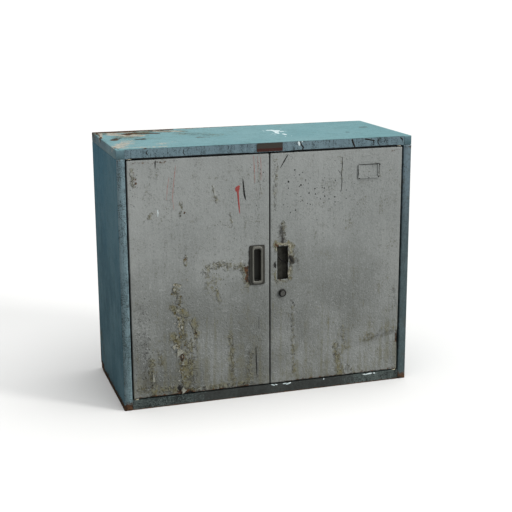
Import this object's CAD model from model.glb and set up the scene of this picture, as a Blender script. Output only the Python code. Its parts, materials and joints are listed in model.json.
"""A weathered two-door steel cupboard: its visible pieces, finishes, light and camera.

Lengths are in metres and places are in the cupboard's own frame: +X to the right, +Y to the
back, +Z up, with the origin on the floor under the middle. The doors face -Y.
"""

from __future__ import annotations

import json
import logging
import math
import random
from collections.abc import Callable, Iterable, Sequence
from dataclasses import dataclass, field
from enum import Enum

import bmesh
import bpy
from mathutils import Matrix, Vector, noise

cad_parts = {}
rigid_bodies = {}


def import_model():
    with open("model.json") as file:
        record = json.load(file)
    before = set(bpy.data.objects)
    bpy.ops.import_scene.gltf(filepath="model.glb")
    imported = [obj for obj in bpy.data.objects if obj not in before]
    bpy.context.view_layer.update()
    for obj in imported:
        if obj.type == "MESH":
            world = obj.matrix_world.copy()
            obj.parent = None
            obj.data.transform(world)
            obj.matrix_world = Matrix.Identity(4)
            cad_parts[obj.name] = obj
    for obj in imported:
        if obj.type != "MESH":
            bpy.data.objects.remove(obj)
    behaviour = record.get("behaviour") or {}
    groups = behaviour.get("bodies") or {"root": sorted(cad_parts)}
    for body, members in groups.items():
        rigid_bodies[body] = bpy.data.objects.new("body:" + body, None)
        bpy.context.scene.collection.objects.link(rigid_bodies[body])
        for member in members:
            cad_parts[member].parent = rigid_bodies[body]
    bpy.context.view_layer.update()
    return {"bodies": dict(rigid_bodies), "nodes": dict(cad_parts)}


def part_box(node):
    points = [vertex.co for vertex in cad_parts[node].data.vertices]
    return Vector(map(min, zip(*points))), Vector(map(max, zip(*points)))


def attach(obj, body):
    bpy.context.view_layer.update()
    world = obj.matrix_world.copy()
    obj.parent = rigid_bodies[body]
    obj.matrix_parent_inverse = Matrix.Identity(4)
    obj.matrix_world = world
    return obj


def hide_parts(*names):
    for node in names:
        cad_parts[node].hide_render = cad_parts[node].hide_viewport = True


LOG = logging.getLogger("cupboard")
MM = 0.001
X, Y, Z = Vector((1, 0, 0)), Vector((0, 1, 0)), Vector((0, 0, 1))

Colour = tuple[float, float, float]
Spot = tuple[float, float]
Box = tuple[Vector, Vector]
Socket = bpy.types.NodeSocket
Material = bpy.types.Material
Thing = bpy.types.Object
Mesh = bmesh.types.BMesh
Edge = bmesh.types.BMEdge
Value = Socket | float | Sequence[float]

# Two points nearer than this are one.
SAME = 1e-6
# The width of a flange that is folded out of sight.
FLANGE = 14.0 * MM
# How far a dried film's edge and a flake's root stand off their sheet, in millimetres.
FILM_LIFT, FLAKE_LIFT = 0.14, 0.15
# How far a rolled flake may stand off its sheet, in millimetres.
FLAKE_REACH = 5.5

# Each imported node's lowest and highest corner, filled once: the films ask for them at every point.
BOXES: dict[str, Box] = {}


class Side(Enum):
    """The side of the cupboard that a piece belongs to, seen from the front."""

    LEFT = -1
    RIGHT = 1

    @property
    def word(self) -> str:
        """The side's name, as the pieces' names begin."""
        return self.name.lower()


class Stain(Enum):
    """What has marked a painted sheet."""

    RUST = "rust"
    OCHRE = "ochre"
    SOOT = "soot"
    PALE = "pale"


# ---- shader graphs


class Graph:
    """One material's node tree, with short ways to add the nodes that the finishes share."""

    def __init__(self, name: str) -> None:
        """Starts a material with only an output and a shader.

        Args:
            name: the material's name.
        """
        self.material = bpy.data.materials.new(name)
        self.material.use_nodes = True
        self.tree = self.material.node_tree
        self.tree.nodes.clear()
        self.shader = self.node("BsdfPrincipled", {})
        self.node("OutputMaterial", {"Surface": self.shader.outputs["BSDF"]})
        self.place = self.node("TexCoord", {}).outputs["Object"]

    def node(
        self, kind: str, inputs: dict[str | int, Value], **options: str | bool
    ) -> bpy.types.Node:
        """Adds a node.

        Args:
            kind: its type, without the words that every shader node's type begins with.
            inputs: what each of its inputs is linked to or set to.
            options: its settings.

        Returns:
            The node.
        """
        made = self.tree.nodes.new("ShaderNode" + kind)
        for name, option in options.items():
            setattr(made, name, option)
        for key, value in inputs.items():
            self.feed(made.inputs[key], value)
        return made

    def feed(self, socket: Socket, value: Value) -> None:
        """Links a socket to another, or sets its value.

        Args:
            socket: the input to fill.
            value: an output to link from, a number or a colour.
        """
        if isinstance(value, bpy.types.NodeSocket):
            self.tree.links.new(value, socket)
        elif isinstance(value, (int, float)):
            socket.default_value = value
        else:
            alpha = (1.0,) if len(socket.default_value) > len(value) else ()
            socket.default_value = (*value, *alpha)

    def axes(self) -> dict[str, Socket]:
        """The place's three coordinates.

        Returns:
            Each coordinate, by its letter.
        """
        split = self.node("SeparateXYZ", {0: self.place})
        return {letter: split.outputs[letter] for letter in "XYZ"}

    def noise(
        self,
        scale: float,
        detail: float = 3.0,
        rough: float = 0.55,
        stretch: Sequence[float] = (1.0, 1.0, 1.0),
        shift: float = 0.0,
        distortion: float = 0.0,
    ) -> Socket:
        """Cloud noise.

        Args:
            scale: blobs to the metre, about.
            detail: finer layers to add.
            rough: how strong the finer layers are.
            stretch: multiplies the scale along each axis.
            shift: moves the pattern, so that two noises differ.
            distortion: how much the noise swirls.

        Returns:
            A value about 0.5.
        """
        moved = (shift, shift * 1.7, shift * 0.6)
        mapping = self.node("Mapping", {"Vector": self.place, "Scale": stretch, "Location": moved})
        settings = {"Scale": scale, "Detail": detail, "Roughness": rough, "Distortion": distortion}
        cloud = self.node("TexNoise", {"Vector": mapping.outputs["Vector"], **settings})
        return cloud.outputs["Fac"]

    def cells(self, scale: float, feature: str = "DISTANCE_TO_EDGE", shift: float = 0.0) -> Socket:
        """Cell noise, for cracks and crystals.

        Args:
            scale: cells to the metre, about.
            feature: which distance to give.
            shift: moves the pattern.

        Returns:
            The distance, in cells.
        """
        mapping = self.node("Mapping", {"Vector": self.place, "Location": (shift, shift, shift)})
        inputs = {"Vector": mapping.outputs["Vector"], "Scale": scale}
        return self.node("TexVoronoi", inputs, feature=feature).outputs["Distance"]

    def marked(self, stain: Stain) -> Socket:
        """How strongly a sheet is marked with a stain, from its mesh."""
        return self.node("Attribute", {}, attribute_name=stain.value).outputs["Fac"]

    def math(self, kind: str, a: Value, b: Value = 0.0, clamp: bool = False) -> Socket:
        """One sum.

        Args:
            kind: the operation's name.
            a: its first value.
            b: its second value.
            clamp: whether to keep the result between 0 and 1.

        Returns:
            The result.
        """
        return self.node("Math", {0: a, 1: b}, operation=kind, use_clamp=clamp).outputs[0]

    def total(self, *values: Value) -> Socket:
        """The sum of several values.

        Args:
            values: what to add up.

        Returns:
            Their sum.
        """
        result = values[0]
        for value in values[1:]:
            result = self.math("ADD", result, value)
        return result

    def scaled(self, value: Socket, by: float, about: float = 0.5) -> Socket:
        """A value's distance from a middle, times a factor."""
        return self.math("MULTIPLY", self.math("SUBTRACT", value, about), by)

    def step(self, value: Socket, low: float, high: float, to: Spot = (0.0, 1.0)) -> Socket:
        """A smooth step.

        Args:
            value: the value to read.
            low: where the step starts.
            high: where it ends, which may be below low.
            to: the results at the two ends.

        Returns:
            The stepped value.
        """
        if high < low:
            low, high, to = high, low, (to[1], to[0])
        ends = {"From Min": low, "From Max": high, "To Min": to[0], "To Max": to[1]}
        made = self.node("MapRange", {"Value": value, **ends}, interpolation_type="SMOOTHSTEP")
        return made.outputs["Result"]

    def mix(self, share: Value, first: Value, second: Value) -> Socket:
        """Two colours mixed.

        Args:
            share: how much of the second.
            first: the colour below.
            second: the colour above.

        Returns:
            The mixed colour.
        """
        return self.node("Mix", {0: share, 6: first, 7: second}, data_type="RGBA").outputs[2]

    def finish(
        self,
        colour: Socket,
        rough: Value,
        bumps: Sequence[tuple[Socket, float]],
        metal: Value = 0.0,
        specular: float = 0.5,
    ) -> Material:
        """Fills in the shader and gives the material.

        Args:
            colour: the base colour.
            rough: the roughness.
            bumps: heights from 0 to 1, each with its depth in metres.
            metal: how metallic the surface is.
            specular: the specular level.

        Returns:
            The finished material.
        """
        surface = {"Base Color": colour, "Roughness": rough, "Metallic": metal}
        surface["Specular IOR Level"] = specular
        under: dict[str, Socket] = {}
        for height, depth in bumps:
            relief = {"Strength": 1.0, "Distance": depth, "Height": height}
            under = {"Normal": self.node("Bump", {**relief, **under}).outputs["Normal"]}
        for name, value in (surface | under).items():
            self.feed(self.shader.inputs[name], value)
        return self.material


# ---- finishes

RUST_DEEP: Colour = (0.015, 0.010, 0.007)
RUST_WARM: Colour = (0.070, 0.032, 0.014)
RUST_BRIGHT: Colour = (0.170, 0.078, 0.026)


@dataclass(frozen=True)
class Enamel:
    """Old stoved enamel on sheet steel: faded, streaked by rain, chipped and rusting."""

    name: str
    upper: Colour
    lower: Colour
    shade: Colour
    bloom: Colour
    heights: tuple[float, float] = (0.0, 0.75)
    streaks: float = 0.5
    mottling: float = 0.5
    chips: float = 0.7
    creep: float = 0.05
    soot_band: tuple[float, float] | None = None
    marks: bool = True
    wrinkle: float = 0.0
    rough: float = 0.52
    tint: Colour | None = None
    specular: float = 0.16
    crazing: float = 0.0
    pits: float = 0.62
    pale_low: Colour = (0.088, 0.078, 0.044)
    pale_high: Colour = (0.190, 0.184, 0.148)

    def build(self) -> Material:
        """Makes the material.

        Returns:
            The enamel, with its stains read from the mesh where it has them.
        """
        g = Graph(self.name)
        axes = g.axes()
        cloud = g.noise(4.5, 3.0, 0.5)
        mottle = g.noise(30.0, 5.0, 0.62, shift=3.1)
        blotch = g.noise(125.0, 4.0, 0.68, shift=7.7)
        grain = g.noise(330.0, 3.0, 0.6, shift=1.3)
        rain = g.noise(1.0, 5.0, 0.62, (85.0, 85.0, 3.2), 5.7)
        hair = g.noise(1.0, 4.0, 0.65, (330.0, 330.0, 15.0), 8.2)
        # Faded from the top down, streaked by rain and clouded.
        colour = g.mix(g.step(axes["Z"], *self.heights), self.lower, self.upper)
        colour = g.mix(g.step(cloud, 0.38, 0.68, (0.0, 0.55)), colour, self.bloom)
        dim = g.total(g.scaled(rain, self.streaks * 1.5), g.scaled(hair, self.streaks * 1.1))
        dim = g.total(dim, g.scaled(mottle, self.mottling), g.scaled(blotch, self.mottling * 1.3))
        dim = g.total(dim, g.scaled(grain, self.mottling * 2.4))
        colour = g.mix(g.step(dim, 0.0, 0.42, (0.0, 0.95)), colour, self.shade)
        colour = g.mix(g.step(dim, -0.04, -0.40, (0.0, 0.8)), colour, self.bloom)
        fine = g.total(g.scaled(mottle, 0.9), g.scaled(blotch, 1.1), g.scaled(grain, 0.5))
        if self.tint:
            low = g.step(axes["Z"], 0.50, 0.02, (-0.25, 0.16))
            stain = g.total(low, g.scaled(rain, 1.6), g.scaled(mottle, 0.8), g.scaled(blotch, 0.5))
            colour = g.mix(g.step(stain, 0.0, 0.5, (0.0, 0.6)), colour, self.tint)
        # Dark pits, fine cracks, and rust that breaks through and creeps up from the foot.
        pits = g.step(g.cells(150.0, "F1", 0.7), 0.20, 0.11)
        where = g.total(g.noise(11.0, 4.0, 0.7, shift=4.9), g.scaled(mottle, 0.5))
        where = g.step(where, self.pits, self.pits + 0.1)
        colour = g.mix(g.math("MULTIPLY", pits, where), colour, (0.016, 0.015, 0.013))
        if self.crazing:
            lines = g.step(g.total(g.cells(38.0, shift=2.3), g.scaled(blotch, 0.16)), 0.035, 0.0)
            where = g.total(g.noise(16.0, 4.0, 0.65, shift=6.6), g.scaled(hair, 0.5))
            where = g.step(where, 0.50, 0.64, (0.0, self.crazing))
            colour = g.mix(g.math("MULTIPLY", lines, where), colour, (0.012, 0.014, 0.014))
        rusty = g.total(g.noise(58.0, 5.0, 0.7, shift=9.4), g.scaled(cloud, 0.25))
        rusty = g.step(rusty, self.chips, self.chips + 0.05)
        edge = g.step(axes["Z"], self.creep, 0.0, (0.0, 0.75))
        edge = g.total(edge, g.scaled(fine, 0.6, 0.0), -0.42)
        rusty = g.math("MAXIMUM", rusty, g.step(edge, 0.0, 0.18))
        lifted = rusty
        if self.soot_band:
            aside = g.math("ABSOLUTE", g.math("SUBTRACT", axes["X"], self.soot_band[0]))
            soot = g.total(g.step(aside, self.soot_band[1], self.soot_band[1] * 0.5), fine)
            colour = g.mix(g.step(soot, 0.3, 0.8, (0.0, 0.78)), colour, (0.016, 0.017, 0.016))
        # The stains that the sheet's own points carry.
        if self.marks:
            streaky = g.total(fine, g.scaled(hair, 0.7))
            marked = g.marked(Stain.OCHRE)
            ochre = g.total(marked, g.scaled(streaky, 1.75, 0.0))
            ochre = g.step(ochre, 0.22, 1.10, (0.0, 0.82))
            tan = g.step(g.noise(75.0, 4.0, 0.7, shift=5.3), 0.40, 0.62)
            tan = g.mix(tan, (0.100, 0.099, 0.066), (0.082, 0.071, 0.029))
            colour = g.mix(ochre, colour, tan)
            curled = g.noise(62.0, 3.0, 0.6, (1.0, 1.0, 0.7), 3.9, 1.6)
            over = g.total(curled, g.math("MULTIPLY", marked, 0.22), g.scaled(blotch, 0.15))
            scales = g.math("MULTIPLY", g.step(over, 0.60, 0.66), g.step(marked, 0.15, 0.5))
            under = g.math("MULTIPLY", g.step(over, 0.575, 0.60), g.step(over, 0.635, 0.61))
            under = g.math("MULTIPLY", under, g.step(marked, 0.25, 0.6, (0.0, 0.95)))
            colour = g.mix(under, colour, (0.016, 0.014, 0.010))
            deep = g.step(g.total(marked, streaky), 1.0, 1.5, (0.0, 0.7))
            colour = g.mix(deep, colour, (0.044, 0.031, 0.012))
            soot = g.total(g.marked(Stain.SOOT), g.scaled(fine, 0.5, 0.0))
            soot = g.step(soot, 0.15, 0.85, (0.0, 0.92))
            colour = g.mix(soot, colour, (0.010, 0.009, 0.008))
            pale = g.step(g.total(g.marked(Stain.PALE), fine), 0.42, 0.62)
            shade = g.mix(g.step(blotch, 0.4, 0.6), self.pale_low, self.pale_high)
            colour = g.mix(pale, colour, shade)
            spot = g.step(g.total(g.marked(Stain.RUST), fine), 0.36, 0.62, (0.0, 0.95))
            rusty = g.math("MAXIMUM", rusty, spot)
            lifted = g.math("MAXIMUM", rusty, pale)
        ore = g.mix(g.step(g.noise(120.0, 4.0, 0.7, shift=2.2), 0.40, 0.66), RUST_DEEP, RUST_WARM)
        bright = g.step(g.noise(210.0, 3.0, 0.7, shift=6.2), 0.60, 0.74, (0.0, 0.7))
        ore = g.mix(bright, ore, RUST_BRIGHT)
        colour = g.mix(rusty, colour, ore)
        rough = g.total(g.scaled(mottle, 0.25), g.scaled(rain, 0.12), self.rough)
        rough = g.math("ADD", rough, g.math("MULTIPLY", rusty, 0.35), clamp=True)
        grit = g.math("MULTIPLY", grain, rusty)
        bumps = [(blotch, 0.0010), (lifted, -0.0006), (grit, 0.0008)]
        if self.marks:
            bumps.append((scales, 0.0022))
        if self.wrinkle:
            low = g.step(axes["Z"], 0.45, 0.20, (0.25, 1.0))
            creased = g.math("MULTIPLY", g.noise(125.0, 4.0, 0.62, distortion=0.8), low)
            bumps.append((creased, self.wrinkle))
        return g.finish(colour, rough, bumps, 0.0, self.specular)


@dataclass(frozen=True)
class WornMetal:
    """Bare or plated metal, dulled and spotted."""

    name: str
    bright: Colour
    dull: Colour
    rough: float = 0.42
    rusting: float = 0.68
    grain: tuple[float, float, float] = (1.0, 1.0, 1.0)
    metal: float = 0.85
    inner: float | None = None
    specular: float = 0.5
    crown: float | None = None

    def build(self) -> Material:
        """Makes the material.

        Returns:
            The metal, darker with dirt behind its inner place along Y if it has one.
        """
        g = Graph(self.name)
        tarnish = g.noise(55.0, 5.0, 0.65)
        lines = g.noise(260.0, 3.0, 0.6, self.grain, 2.0)
        fine = g.noise(900.0, 2.0, shift=5.0)
        rusty = g.total(g.noise(95.0, 5.0, 0.7, shift=7.0), g.scaled(fine, 0.15))
        rusty = g.step(rusty, self.rusting, self.rusting + 0.08)
        shiny = g.step(g.total(tarnish, g.scaled(lines, 0.5)), 0.3, 0.72)
        colour = g.mix(shiny, self.dull, self.bright)
        ore = g.mix(g.step(lines, 0.4, 0.6), RUST_DEEP, RUST_WARM)
        colour = g.mix(rusty, colour, ore)
        if self.crown is not None:
            high = g.total(g.axes()["Y"], g.scaled(lines, 0.0006))
            high = g.step(high, self.crown + 0.9 * MM, self.crown + 0.2 * MM, (0.0, 0.7))
            colour = g.mix(high, colour, (0.080, 0.080, 0.070))
        if self.inner is not None:
            behind = g.total(g.axes()["Y"], g.scaled(tarnish, 0.001))
            behind = g.step(behind, self.inner - 1.5 * MM, self.inner + 1.0 * MM, (0.0, 0.93))
            colour = g.mix(behind, colour, (0.008, 0.008, 0.006))
        rough = g.total(g.scaled(tarnish, 0.4), g.scaled(lines, 0.15))
        rough = g.total(rough, g.math("MULTIPLY", rusty, 0.4), self.rough)
        metal = g.step(rusty, 0.9, 0.1, (0.0, self.metal))
        return g.finish(colour, rough, [(lines, 0.00008), (rusty, 0.00025)], metal, self.specular)


@dataclass(frozen=True)
class Moulded:
    """Moulded nylon, rubber or ferrite: nearly one colour, with a fine skin and some dirt."""

    name: str
    fresh: Colour
    dirty: Colour
    rough: float = 0.5

    def build(self) -> Material:
        """Makes the material.

        Returns:
            The moulded material.
        """
        g = Graph(self.name)
        dirt = g.noise(80.0, 5.0, 0.65)
        skin = g.noise(1500.0, 2.0, shift=4.0)
        colour = g.mix(g.step(dirt, 0.4, 0.7, (0.0, 0.8)), self.fresh, self.dirty)
        rough = g.total(g.scaled(dirt, 0.3), g.scaled(skin, 0.1), self.rough)
        return g.finish(colour, rough, [(skin, 0.00003), (dirt, 0.0001)])


@dataclass(frozen=True)
class Film:
    """Dried paint or drips: one colour, thinner and browner in places."""

    name: str
    thick: Colour
    thin: Colour
    rough: float = 0.45
    specular: float = 0.12

    def build(self) -> Material:
        """Makes the material.

        Returns:
            The film.
        """
        g = Graph(self.name)
        cover = g.noise(240.0, 4.0, 0.65)
        skin = g.noise(900.0, 3.0, shift=2.0)
        colour = g.mix(g.step(cover, 0.36, 0.64), self.thin, self.thick)
        rough = g.total(g.scaled(cover, 0.3), self.rough)
        return g.finish(colour, rough, [(skin, 0.00005), (cover, 0.0001)], specular=self.specular)


@dataclass(frozen=True)
class TwoToneEnamel:
    """A small fired plate: dark above, a band of another colour below, crazed and chipped."""

    name: str
    ground: Colour
    band: Colour
    band_top: float

    def build(self) -> Material:
        """Makes the material.

        Returns:
            The plate's enamel.
        """
        g = Graph(self.name)
        wear = g.noise(170.0, 5.0, 0.7)
        fine = g.noise(900.0, 3.0, shift=3.0)
        edge = g.total(g.axes()["Z"], g.scaled(wear, 0.004))
        edge = g.step(edge, self.band_top + 0.8 * MM, self.band_top - 0.8 * MM)
        colour = g.mix(edge, self.ground, self.band)
        colour = g.mix(g.step(wear, 0.60, 0.72, (0.0, 0.6)), colour, (0.050, 0.042, 0.036))
        crazed = g.step(g.cells(260.0), 0.06, 0.0, (0.0, 0.3))
        colour = g.mix(crazed, colour, (0.030, 0.024, 0.020))
        rough = g.total(g.scaled(wear, 0.35), g.scaled(fine, 0.1), 0.42)
        return g.finish(colour, rough, [(wear, 0.0002), (fine, 0.00004)], specular=0.14)


@dataclass(frozen=True)
class Finishes:
    """Every finish on the cupboard, made once."""

    door: Material
    carcass: Material
    worn: Material
    side: Material
    top: Material
    skirt: Material
    foot: Material
    inside: Material
    pull: Material
    cut_box: Material
    lock: Material
    zinc: Material
    plug: Material
    nylon: Material
    rubber: Material
    magnet: Material
    plate: Material
    red_film: Material
    pink_film: Material
    black_film: Material
    white_film: Material
    cream_flake: Material
    ochre_flake: Material

    @staticmethod
    def make() -> Finishes:
        """Builds the finishes.

        Returns:
            All of them.
        """
        teal_high, teal_low = (0.080, 0.124, 0.146), (0.052, 0.084, 0.092)
        teal_shade, teal_bloom = (0.022, 0.036, 0.040), (0.112, 0.162, 0.180)
        worn_high, worn_low = (0.070, 0.102, 0.122), (0.013, 0.026, 0.028)
        return Finishes(
            door=Enamel(
                "grey_door_enamel", upper=(0.152, 0.162, 0.159), lower=(0.068, 0.072, 0.067),
                shade=(0.064, 0.068, 0.062), bloom=(0.182, 0.192, 0.188), heights=(0.05, 0.70),
                streaks=0.28, mottling=0.46, chips=0.80, creep=0.040, wrinkle=0.0034,
                tint=(0.082, 0.080, 0.054), pits=0.58,
            ).build(),
            carcass=Enamel(
                "teal_enamel", teal_high, teal_low, teal_shade, teal_bloom, chips=0.70,
                mottling=1.15, streaks=0.7, pits=0.47, crazing=0.9,
            ).build(),
            worn=Enamel(
                "worn_teal_enamel", worn_high, worn_low, (0.014, 0.022, 0.024),
                (0.052, 0.074, 0.082), heights=(0.36, 0.70), crazing=0.9, chips=0.70,
                mottling=0.95, pits=0.50,
            ).build(),
            side=Enamel(
                "shaded_teal_enamel", specular=0.03, rough=0.8, upper=(0.042, 0.108, 0.146),
                lower=(0.036, 0.078, 0.098), shade=(0.020, 0.042, 0.050),
                bloom=(0.078, 0.138, 0.160), heights=(0.25, 0.70), chips=0.76, mottling=0.45,
                streaks=0.4, pits=0.62,
            ).build(),
            top=Enamel(
                "teal_top_enamel", (0.078, 0.150, 0.163), (0.058, 0.100, 0.120),
                (0.050, 0.088, 0.092), (0.105, 0.176, 0.188), heights=(0.7515, 0.7535),
                specular=0.05, rough=0.62, streaks=0.1, mottling=0.55, chips=0.76, pits=0.64,
                pale_low=(0.150, 0.140, 0.112), pale_high=(0.225, 0.222, 0.200),
            ).build(),
            skirt=Enamel(
                "skirt_teal_enamel", (0.066, 0.104, 0.124), (0.058, 0.092, 0.108),
                (0.016, 0.026, 0.030), (0.092, 0.136, 0.156), heights=(0.70, 0.76), streaks=0.8,
                mottling=0.9, chips=0.72, marks=False, pits=0.46, crazing=0.9,
            ).build(),
            foot=Enamel(
                "foot_rail_enamel", (0.018, 0.026, 0.026), (0.014, 0.018, 0.017),
                (0.003, 0.004, 0.004), (0.066, 0.084, 0.080), heights=(0.0, 0.03), mottling=1.3,
                chips=0.68, creep=0.008, soot_band=(0.02, 0.34), marks=False, pits=0.5,
            ).build(),
            inside=Enamel(
                "teal_inner_enamel", (0.090, 0.132, 0.142), (0.080, 0.118, 0.124),
                (0.052, 0.076, 0.080), (0.120, 0.165, 0.172), streaks=0.3, mottling=0.4,
                chips=0.76, creep=0.06, marks=False, rough=0.45,
            ).build(),
            pull=WornMetal(
                "worn_pull_steel", (0.056, 0.056, 0.046), (0.014, 0.014, 0.010), rusting=0.70,
                grain=(1.0, 1.0, 0.2), metal=0.2, inner=-0.1965, specular=0.3, crown=-0.1993,
            ).build(),
            cut_box=WornMetal(
                "box_behind_pull", (0.026, 0.026, 0.022), (0.009, 0.009, 0.007),
                rough=0.7, rusting=0.62, metal=0.0, specular=0.06,
            ).build(),
            lock=WornMetal(
                "lock_steel", (0.010, 0.010, 0.009), (0.003, 0.003, 0.003),
                rough=0.4, rusting=0.74, metal=0.2, specular=0.18,
            ).build(),
            zinc=WornMetal(
                "dull_zinc", (0.260, 0.268, 0.272), (0.140, 0.143, 0.143), rough=0.38, rusting=0.70
            ).build(),
            plug=WornMetal(
                "lock_plug_steel", (0.085, 0.085, 0.080), (0.030, 0.030, 0.027),
                rough=0.4, rusting=0.70, metal=0.4, specular=0.3,
            ).build(),
            nylon=Moulded("aged_nylon", (0.380, 0.350, 0.260), (0.190, 0.160, 0.100)).build(),
            rubber=Moulded("black_rubber", (0.012,) * 3, (0.034, 0.031, 0.027), 0.75).build(),
            magnet=Moulded(
                "dark_ferrite", (0.018, 0.018, 0.019), (0.036, 0.030, 0.024), 0.6
            ).build(),
            plate=TwoToneEnamel(
                "nameplate_enamel", (0.022, 0.020, 0.017), (0.024, 0.0055, 0.0035), band_top=0.7385
            ).build(),
            red_film=Film("red_drip_paint", (0.165, 0.020, 0.020), (0.150, 0.045, 0.040)).build(),
            pink_film=Film("thin_red_stain", (0.175, 0.088, 0.082), (0.160, 0.135, 0.125)).build(),
            black_film=Film("black_drip", (0.003, 0.003, 0.003), (0.009, 0.009, 0.008)).build(),
            white_film=Film(
                "white_splash", (0.420, 0.470, 0.480), (0.250, 0.310, 0.320), 0.6
            ).build(),
            cream_flake=Film(
                "cream_undercoat", (0.195, 0.200, 0.178), (0.110, 0.108, 0.084), 0.65
            ).build(),
            ochre_flake=Film(
                "ochre_undercoat", (0.098, 0.086, 0.042), (0.048, 0.038, 0.018), 0.7
            ).build(),
        )


# ---- mesh helpers


def object_from(bm: Mesh, name: str, material: Material) -> Thing:
    """Turns a bmesh into a linked object with one material.

    Args:
        bm: the mesh, which is freed.
        name: the object's name.
        material: its finish.

    Returns:
        The object, at the origin.
    """
    mesh = bpy.data.meshes.new(name)
    bm.to_mesh(mesh)
    bm.free()
    mesh.materials.append(material)
    made = bpy.data.objects.new(name, mesh)
    bpy.context.scene.collection.objects.link(made)
    return made


def soften(made: Thing, angle: float = 35.0) -> Thing:
    """Smooth shading, except across sharp edges.

    Args:
        made: the object.
        angle: the sharpest fold that stays smooth, in degrees.

    Returns:
        The same object.
    """
    made.data.shade_smooth()
    made.data.set_sharp_from_angle(angle=math.radians(angle))
    return made


def add_thickness(made: Thing, thickness: float) -> Thing:
    """Gives a sheet its thickness, half to each side.

    Args:
        made: an open sheet.
        thickness: the sheet's gauge.

    Returns:
        The same object.
    """
    wall = made.modifiers.new("gauge", "SOLIDIFY")
    wall.thickness = thickness
    wall.offset = 0.0
    return made


def boundary(bm: Mesh, keep: Callable[[Vector], bool]) -> list[Edge]:
    """The open edges whose two ends pass a test.

    Args:
        bm: the mesh.
        keep: a test on a point.

    Returns:
        The edges.
    """
    return [e for e in bm.edges if e.is_boundary and all(keep(v.co) for v in e.verts)]


def remove_faces(bm: Mesh, doomed: Callable[[Vector], bool]) -> None:
    """Cuts away the faces whose middles pass a test.

    Args:
        bm: the mesh.
        doomed: the test on a face's middle.
    """
    faces = [face for face in bm.faces if doomed(face.calc_center_median())]
    bmesh.ops.delete(bm, geom=faces, context="FACES")


def cut_across(bm: Mesh, place: Vector, normal: Vector, snap: float) -> None:
    """Cuts edges into a mesh along a plane.

    Args:
        bm: the mesh.
        place: a point on the plane.
        normal: the way that the plane faces.
        snap: how near a point may be before it counts as on the plane.
    """
    geom = [*bm.verts, *bm.edges, *bm.faces]
    bmesh.ops.bisect_plane(bm, geom=geom, dist=snap, plane_co=place, plane_no=normal)


def front_centre(low: Vector, high: Vector) -> Vector:
    """The middle of a box seen from the front, with no depth."""
    return Vector(((low.x + high.x) / 2, 0.0, (low.z + high.z) / 2))


def fold(bm: Mesh, edges: Iterable[Edge], move: Callable[[Vector], Vector]) -> list[Edge]:
    """Extends a sheet from some of its open edges.

    Args:
        bm: the mesh.
        edges: the edges to extend from.
        move: gives each new point's shift.

    Returns:
        The new open edges.
    """
    made = bmesh.ops.extrude_edge_only(bm, edges=list(edges))["geom"]
    verts = [item for item in made if isinstance(item, bmesh.types.BMVert)]
    for vert in verts:
        vert.co += move(vert.co.copy())
    fresh = set(verts)
    return [e for e in made if isinstance(e, Edge) and set(e.verts) <= fresh]


def round_folds(bm: Mesh, edges: Iterable[Edge], radius: float) -> None:
    """Rounds the bends of a sheet.

    Args:
        bm: the mesh.
        edges: the bends' edges.
        radius: the bends' radius.
    """
    bmesh.ops.bevel(
        bm,
        geom=list(edges),
        offset=radius,
        offset_type="OFFSET",
        segments=3,
        profile=0.5,
        affect="EDGES",
        material=-1,
        clamp_overlap=True,
    )


def sharp_edges(bm: Mesh, least: float = 40.0) -> list[Edge]:
    """The edges where a sheet bends by at least an angle, in degrees."""
    limit = math.radians(least)
    return [e for e in bm.edges if len(e.link_faces) == 2 and e.calc_face_angle(0.0) > limit]


def panel_grid(width: float, height: float, step: float) -> Mesh:
    """A flat sheet in the XY plane about the origin, cut into small squares.

    Args:
        width: its size along X.
        height: its size along Y.
        step: the squares' size, about.

    Returns:
        The mesh.
    """
    bm = bmesh.new()
    counts = max(1, round(width / step)), max(1, round(height / step))
    bmesh.ops.create_grid(bm, x_segments=counts[0], y_segments=counts[1], size=0.5)
    bmesh.ops.scale(bm, vec=(width, height, 1.0), verts=bm.verts)
    return bm


def strip(path: Sequence[Spot], ends: Spot, step: float, axis: str) -> Mesh:
    """A folded section drawn along an axis.

    Args:
        path: the section's corners, on the two other axes in XYZ order.
        ends: where it starts and ends along the axis.
        step: how far apart its cross cuts are, about.
        axis: X, Y or Z.

    Returns:
        The mesh, an open sheet.
    """
    places: dict[str, Callable[[float, float, float], tuple[float, float, float]]] = {
        "X": lambda a, b, along: (along, a, b),
        "Y": lambda a, b, along: (a, along, b),
        "Z": lambda a, b, along: (a, b, along),
    }
    bm = bmesh.new()
    verts = [bm.verts.new(places[axis](a, b, ends[0])) for a, b in path]
    edges = [bm.edges.new(pair) for pair in zip(verts, verts[1:])]
    count = max(1, round((ends[1] - ends[0]) / step))
    shift = Vector(places[axis](0.0, 0.0, (ends[1] - ends[0]) / count))
    for _ in range(count):
        edges = fold(bm, edges, lambda _: shift)
    return bm


def rounded_outline(size: Spot, radius: float, centre: Vector, segments: int = 6) -> list[Vector]:
    """A rounded rectangle that faces -Y.

    Args:
        size: its width and height.
        radius: its corners' radius.
        centre: its middle.
        segments: the edges in each corner.

    Returns:
        Its points, in order.
    """
    radius = min(radius, min(size) / 2 - 0.0001)
    reach = (size[0] / 2 - radius, size[1] / 2 - radius)
    points = []
    for quarter, (sx, sz) in enumerate(((1, 1), (-1, 1), (-1, -1), (1, -1))):
        for i in range(segments + 1):
            angle = math.pi / 2 * (quarter + i / segments)
            x = sx * reach[0] + radius * math.cos(angle)
            points.append(centre + Vector((x, 0.0, sz * reach[1] + radius * math.sin(angle))))
    return points


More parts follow.
